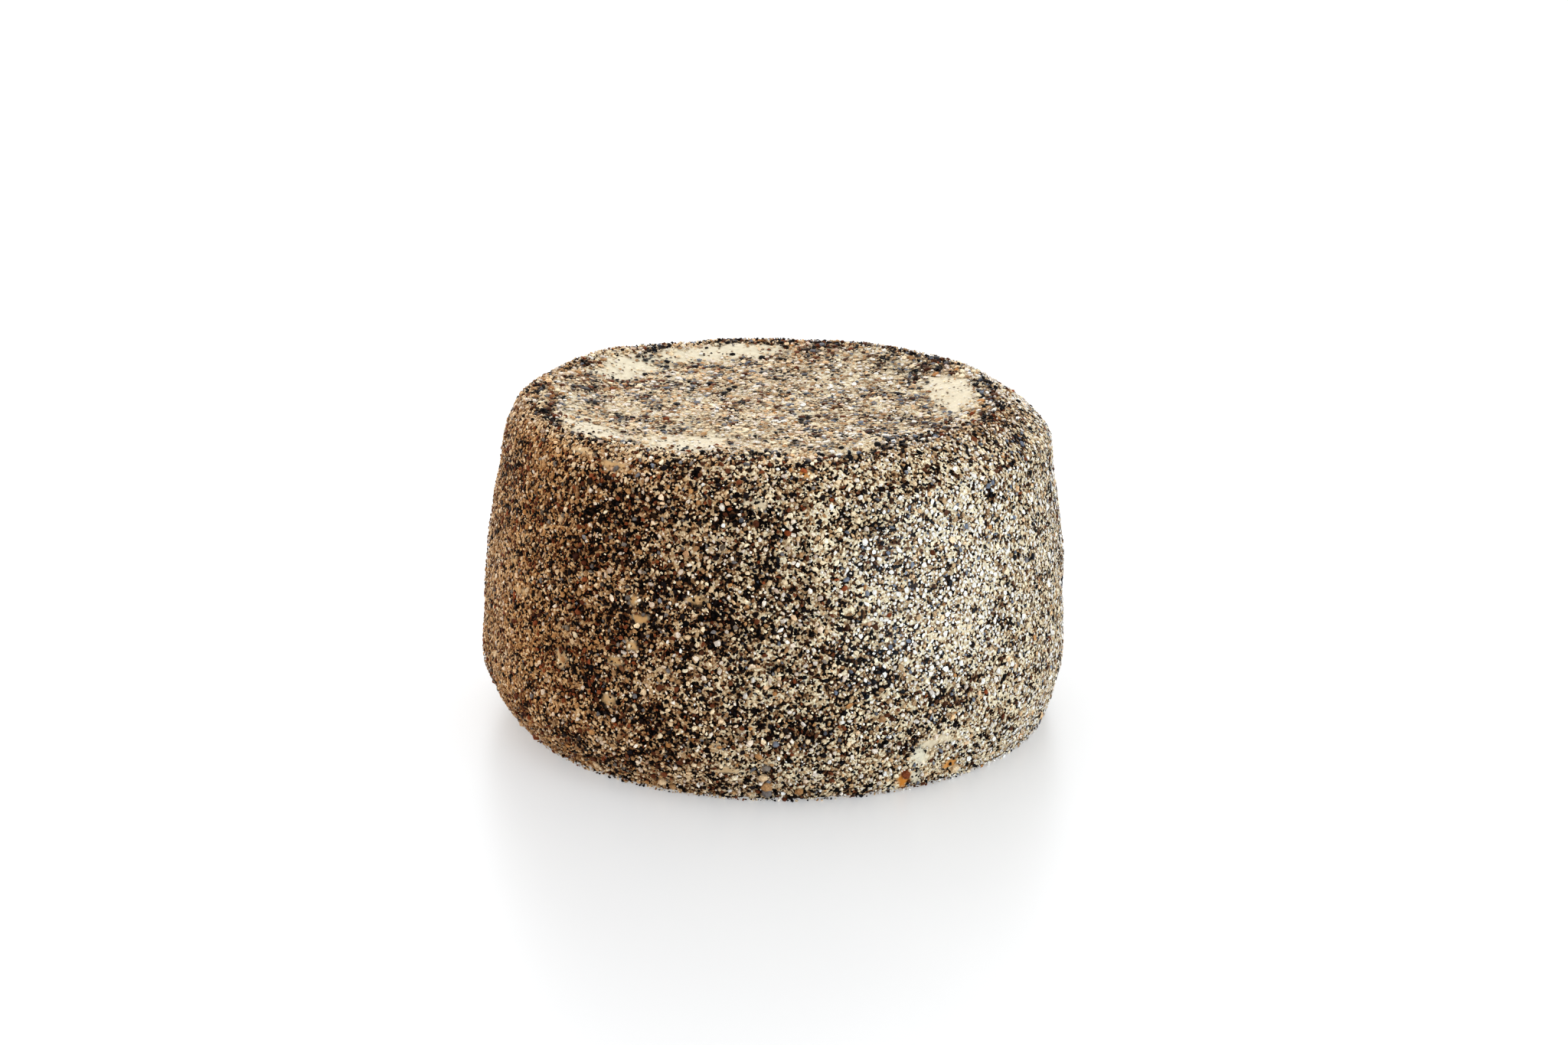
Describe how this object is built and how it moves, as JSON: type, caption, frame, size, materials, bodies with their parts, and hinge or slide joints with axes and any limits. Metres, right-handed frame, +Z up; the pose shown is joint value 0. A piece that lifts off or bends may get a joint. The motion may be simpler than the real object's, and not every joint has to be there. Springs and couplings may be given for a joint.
{
  "type": "cheese wheel",
  "caption": "Small whole cheese wheel, squat and round, with a low rim and a shallow dished top, coated all over in coarsely ground pepper.",
  "frame": {"origin": "on the surface that the wheel stands on, under the middle of its box", "axes": "+Z up through the wheel, +X to the right and -Y towards the front that the picture shows"},
  "size_m": [0.1, 0.1, 0.0561],
  "materials": {
    "peppered_rind": "coarse ground pepper pressed into a pale cheese rind, matt with a faint oily sheen"
  },
  "bodies": {
    "root": {"cheese_wheel": "peppered_rind"}
  },
  "joints": []
}
